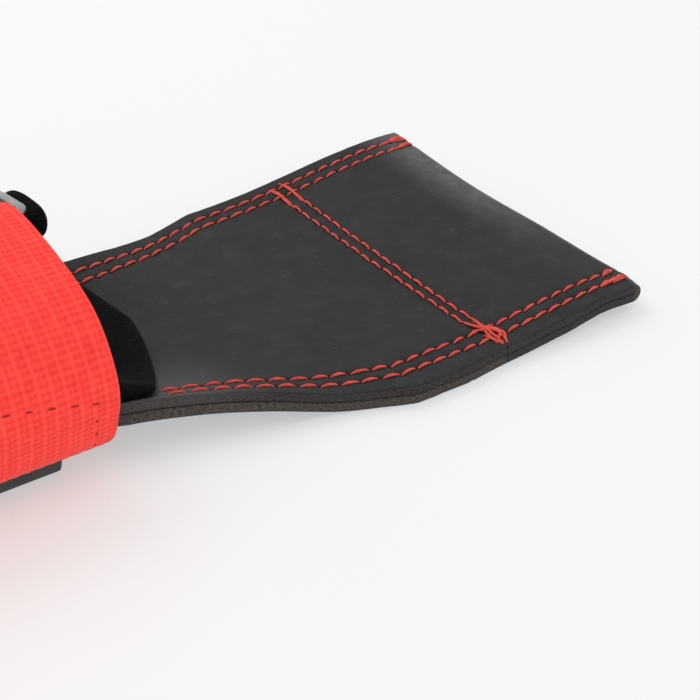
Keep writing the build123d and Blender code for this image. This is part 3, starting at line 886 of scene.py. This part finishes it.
hook_spans = []
for i in range(16):
    u = HOOK_HIGH - 0.5 - i * 4.35
    ends = (u - HALF_DASH, u + HALF_DASH)
    hook_spans.append(((ends[0], hook_row(ends[0])), (ends[1] + rng.normal(0, 0.1), hook_row(ends[1]))))
for u, climb in ((HOOK_LOW, 2.8), (HOOK_HIGH, 0.0)):
    for i in range(3):
        start = 192.8 + i * 9.0 - climb * (2 - i)
        hook_spans.append(((u, start), (u + rng.normal(0, 0.15), start + 2.4)))
hook_thread = thread_object("hook_patch_stitching", oval_stitches(TAIL, 0.02, hook_spans, 0.12), 0.3)
finish_piece(hook_thread, DARK_RED_THREAD, "strap_tail", ("hook_patch_stitching",))

keeper_spans = []
for angle in (33.0, 44.0):
    for i in range(14):
        u = STRAP_MIDDLE + (i - 6.5) * 4.7
        keeper_spans.append(((u - 1.7, angle), (u + 1.7, angle + rng.normal(0, 0.3))))
keeper_thread = thread_object("keeper_stitching", oval_stitches(PAD, -2.6, keeper_spans, 0.5), 0.36)
finish_piece(keeper_thread, BLACK_THREAD, "root", ("keeper_stitching",))

# ---- the padded lining ----

PAD_THICK = 4.9
PAD_BACK_U = -81.0
PAD_TURNS, PAD_RUN = arc_table(PAD, PAD_THICK / 2, -150, 76)
PAD_LOW, PAD_HIGH = PAD_RUN[0], PAD_RUN[-1]
TONGUE_REACH = 30.0
TONGUE_MIDDLE = 8.5
TONGUE_SPREAD = 11.4
ANCHOR_ROWS = (-54.0, -49.0, -7.0, -2.0)


def corner_cut(s, corner):
    """How much a rounded corner takes off the pad at s, the distance run round the cuff."""
    from_end = np.minimum(s - PAD_LOW, PAD_HIGH - s)
    return corner - np.sqrt(np.maximum(0, corner ** 2 - np.clip(corner - from_end, 0, corner) ** 2))


def widening(s):
    """How far the tongue widens at s, once it is clear of the strap."""
    return TONGUE_SPREAD * smooth(-s / 22)


def pad_front(s):
    """The pad's front edge: a rounded tongue over the flap, then straight round the cuff."""
    tongue = TONGUE_REACH - 0.072 * np.abs(s - widening(s) - TONGUE_MIDDLE) ** 1.41
    over_flap = 1 - smooth((s - 25) / 8)
    beside = 4.0 + 5.4 * smooth((s - 40) / 6)
    return beside + (tongue - beside) * over_flap - corner_cut(s, 3.4)


def pad_object():
    ends = np.array([0, 0.12, 0.4, 0.8, 1.4, 2.1, 3.0])
    s = np.concatenate([PAD_LOW + ends, spaced(PAD_LOW + 4, PAD_HIGH - 4, 0.85), PAD_HIGH - ends[::-1]])
    share = np.concatenate([ends / 100, np.linspace(0.04, 0.96, 118), 1 - ends[::-1] / 100])
    around = np.concatenate([share, share[::-1]])
    face = np.concatenate([np.ones(len(share)), -np.ones(len(share))])
    low, high = (PAD_BACK_U + corner_cut(s, 7.0))[:, None], pad_front(s)[:, None]
    u = low + (high - low) * around[None, :]
    reach = 2.4

    def puff(distance):
        t = np.clip(distance / reach, 0, 1)
        return np.sqrt(1 - (1 - t) ** 2)

    from_side = np.minimum(u - low, high - u)
    from_end = np.minimum(s - PAD_LOW, PAD_HIGH - s)[:, None]
    body = puff(from_side) * puff(from_end)
    rows = np.zeros(u.shape)
    for at in ANCHOR_ROWS:
        rows = np.maximum(rows, np.exp(-((u - at) / 1.4) ** 2) * smooth((20 - np.abs(s[:, None])) / 4))
    slim = 1 - 0.42 * smooth((u - 6) / 10) * smooth((36 - s[:, None]) / 10)
    swell = smooth((u - 6.0) / 2.5) * smooth((s[:, None] - 36) / 10)
    thick = PAD_THICK / 2 * body * (1 - 0.28 * rows) * slim * (1 + 0.5 * swell)
    flat = np.stack([u, np.broadcast_to(s[:, None], u.shape), np.broadcast_to(face * 3, u.shape)], -1)
    fuzz = fractal(flat.reshape(-1, 3), 1.1).reshape(u.shape) * 0.09
    fuzz = fuzz + fractal(flat.reshape(-1, 3), 9.0).reshape(u.shape) * 0.3
    lift = face * (thick + fuzz * body)
    reach_on = 6.5 * smooth((u - 3.0) / 3.5) * smooth((s[:, None] - PAD_HIGH + 20) / 20)
    pace = (PAD_TURNS[-1] - PAD_TURNS[-9]) / (PAD_RUN[-1] - PAD_RUN[-9])
    turn = np.interp(s, PAD_RUN, PAD_TURNS)[:, None] + reach_on * pace
    spot, inward = oval_point(PAD, turn, PAD_THICK / 2)
    curl = lift - 2.3 * swell * (1 - 0.7 * smooth((s[:, None] - PAD_HIGH + 12) / 12))
    round_spot = np.stack([u - MID_U, spot[..., 0] + inward[..., 0] * curl,
                           spot[..., 1] + inward[..., 1] * curl], -1)
    v = s[:, None] - smooth((u - 0.5) / 6) * widening(s)[:, None]
    laid = leather(u, np.clip(v, -33.8, 34), HALF_LEATHER + 0.2 + PAD_THICK / 2 * slim + lift)
    share_laid = (smooth((u - 1) / 8) * smooth((36 - v) / 10))[..., None]
    points = round_spot * (1 - share_laid) + laid * share_laid
    faces, caps = loft_faces(len(s), len(around))
    uv = np.stack([u, v], -1) / 100
    return make_object("wrist_pad", points.reshape(-1, 3), faces, caps, uv.reshape(-1, 2))


pad = pad_object()
finish_piece(pad, KNIT, "root", ("pad_cover", "pad_foam", "pad_lining"))

anchor_spans = []
for u in ANCHOR_ROWS:
    for i in range(9):
        middle = -122 + i * 8
        anchor_spans.append(((u, middle - 3.2), (u + rng.normal(0, 0.1), middle + 3.2)))
anchor_thread = thread_object("anchor_stitching", oval_stitches(PAD, 4.15, anchor_spans, 0.5), 0.4)
finish_piece(anchor_thread, BLACK_THREAD, "root", ("anchor_stitching",))


# ---- hook and loop patches ----

def barbs(oval, depth, span, low_u, high_u, pitch, tall, out, bent, seed):
    """Rows of tiny bent filaments standing on an oval's face, as closed tapered tubes."""
    draw = np.random.default_rng(seed)
    turns, run = arc_table(oval, depth, *span)
    points, faces, caps = [], [], []
    for s in np.arange(run[0] + 1.2, run[-1] - 1.2, pitch):
        for u in np.arange(low_u + 1.4, high_u - 1.4, pitch):
            s1 = s + draw.normal(0, pitch * 0.12)
            u1 = u + draw.normal(0, pitch * 0.12)
            spot, inward = oval_point(oval, np.interp(s1, run, turns), depth)
            root = np.array([u1 - MID_U, *spot])
            normal = np.array([0, *inward]) * out
            lean = draw.normal(0, 0.3) + math.pi * draw.integers(0, 2)
            sideways = np.array([math.cos(lean), 0, 0]) + np.cross((1, 0, 0), normal) * math.sin(lean)
            t = np.array([0, 0.45, 0.8, 1.0])
            rise = tall * np.array([-0.1, 0.7, 1.0, 0.72])
            shift = bent * np.array([0, 0.15, 0.7, 1.3])
            path = root + normal * rise[:, None] + sideways * shift[:, None]
            wide = 0.11 * np.array([1.2, 1, 0.9, 0.6])
            turn = np.array([0.0, 2.1, 4.2])
            a, b = sideways, np.cross(normal, sideways)
            ring = path[:, None] + wide[:, None, None] * (np.cos(turn)[None, :, None] * a
                                                         + np.sin(turn)[None, :, None] * b)
            quads, ends = loft_faces(len(t), 3, 12 * len(points))
            points.append(ring.reshape(-1, 3))
            faces += quads
            caps += ends
    return np.concatenate(points), faces, caps


def patch(name, oval, depth, thickness, span, pitch, tall, out, bent, seed):
    """A fabric base with its field of barbs, as one mesh; out is 1 towards the oval's middle."""
    low_u, high_u = STRAP_BACK + 5, STRAP_FRONT - 5
    base_line = oval_path(oval, depth + out * thickness / 2, *span)
    whole = band_object(name, base_line, low_u, high_u, thickness, 1.6, 0.03, 0.8, 0.8)
    rooted = depth + out * thickness
    points, faces, caps = barbs(oval, rooted, span, low_u, high_u, pitch, tall, out, bent, seed)
    field = make_object(name + "_field", points, faces, caps, points[:, :2] / 100)
    bpy.ops.object.select_all(action="DESELECT")
    field.select_set(True)
    whole.select_set(True)
    bpy.context.view_layer.objects.active = whole
    bpy.ops.object.join()
    return whole


hook = patch("hook_patch", TAIL, 1.64, 0.45, (177.0, 210.0), 1.25, 0.6, 1, 0.22, 5)
finish_piece(hook, HOOK, "strap_tail", ("hook_patch",))
loop = patch("loop_patch", STRAP, -0.04, 0.4, (112.0, 206.0), 1.5, 0.45, -1, 0.4, 6)
finish_piece(loop, LOOP, "root", ("loop_patch",))


# ---- pull tab ----

def rounded(outline, times):
    """An outline with its corners cut off again and again."""
    points = np.array(outline, float)
    for _ in range(times):
        beside = np.roll(points, -1, axis=0)
        points = np.stack([points * 0.82 + beside * 0.18, points * 0.18 + beside * 0.82], 1).reshape(-1, 2)
    return points


def tab_object():
    """A stiff strip under the strap's free end, with the same bent section all along it."""
    outline = [(-32.5, 8.8), (-31.5, 6.4), (-29.9, 2.0), (-28.9, 0.1), (-22.5, 0.1), (-22.5, 2.3),
               (-26.6, 2.35), (-28.6, 4.4), (-30.2, 7.4), (-31.4, 9.2)]
    ring = rounded(outline, 3)
    way = np.roll(ring, -1, axis=0) - np.roll(ring, 1, axis=0)
    out = np.stack([way[:, 1], -way[:, 0]], -1) / np.hypot(*way.T)[:, None]
    half = 29.5
    steps = [(-half, -0.45), (-half + 0.1, -0.2), (-half + 0.35, -0.03)]
    steps += [(x, 0.0) for x in np.linspace(-half + 0.9, half - 0.9, 60)]
    steps += [(half - 0.35, -0.03), (half - 0.1, -0.2), (half, -0.45)]
    points = [np.concatenate([np.full((len(ring), 1), STRAP_MIDDLE + x - MID_U), ring + out * inset], 1)
              for x, inset in steps]
    points = np.array(points)
    points[..., 2] = np.maximum(points[..., 2], 0.1)
    faces, caps = loft_faces(len(steps), len(ring))
    return make_object("pull_tab", points.reshape(-1, 3), faces, caps)


tab = tab_object()
finish_piece(tab, RUBBER, "strap_tail", ("pull_tab",))

# ---- the ring is the one CAD part that stays ----
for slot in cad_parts["ring"].material_slots:
    slot.material = STEEL

# ---- floor, light and camera ----
floor_mesh = bpy.data.meshes.new("floor")
FLOOR = 3.0
floor_mesh.from_pydata([(x * FLOOR, y * FLOOR, 0) for x, y in ((-1, -1), (1, -1), (1, 1), (-1, 1))], [],
                       [(0, 1, 2, 3)])
floor = bpy.data.objects.new("floor", floor_mesh)
bpy.context.scene.collection.objects.link(floor)
floor_paint = Paint("pale_floor")
floor_mesh.materials.append(floor_paint.set(color=(0.45, 0.45, 0.452), roughness=0.9, specular=0.1))
floor_paint.shader.inputs["Emission Color"].default_value = (1.0, 1.0, 1.0, 1.0)
floor_paint.shader.inputs["Emission Strength"].default_value = 0.43

world = bpy.context.scene.world or bpy.data.worlds.new("World")
bpy.context.scene.world = world
world.use_nodes = True
background = next(n for n in world.node_tree.nodes if n.type == "BACKGROUND")
background.inputs["Color"].default_value = (1.0, 1.0, 1.0, 1.0)
background.inputs["Strength"].default_value = 0.9
bpy.context.scene.view_settings.view_transform = "Standard"


def area_light(name, place, aim, size, power):
    data = bpy.data.lights.new(name, "AREA")
    data.shape = "DISK"
    data.size = size
    data.energy = power
    lamp = bpy.data.objects.new(name, data)
    bpy.context.scene.collection.objects.link(lamp)
    lamp.location = place
    lamp.rotation_mode = "QUATERNION"
    lamp.rotation_quaternion = (Vector(aim) - Vector(place)).to_track_quat("-Z", "Y")


area_light("key", (-0.25, 0.75, 1.15), (0, 0, 0), 0.9, 4.2)
area_light("fill", (0.7, -0.5, 1.0), (0, 0, 0), 1.2, 0.6)
area_light("front", (-0.55, -0.95, 0.3), (-0.04, 0, 0.02), 0.8, 2.4)

camera_data = bpy.data.cameras.new("camera")
camera_data.lens = 62.06
camera_data.sensor_width = 36.0
camera_data.clip_start = 0.01
camera_data.clip_end = 20.0
camera = bpy.data.objects.new("camera", camera_data)
bpy.context.scene.collection.objects.link(camera)
camera.location = (-0.1090, -0.2270, 0.1516)
camera.rotation_mode = "QUATERNION"
camera.rotation_quaternion = (Vector((0.0390, -0.0249, 0.0)) - camera.location).to_track_quat("-Z", "Y")
bpy.context.scene.camera = camera
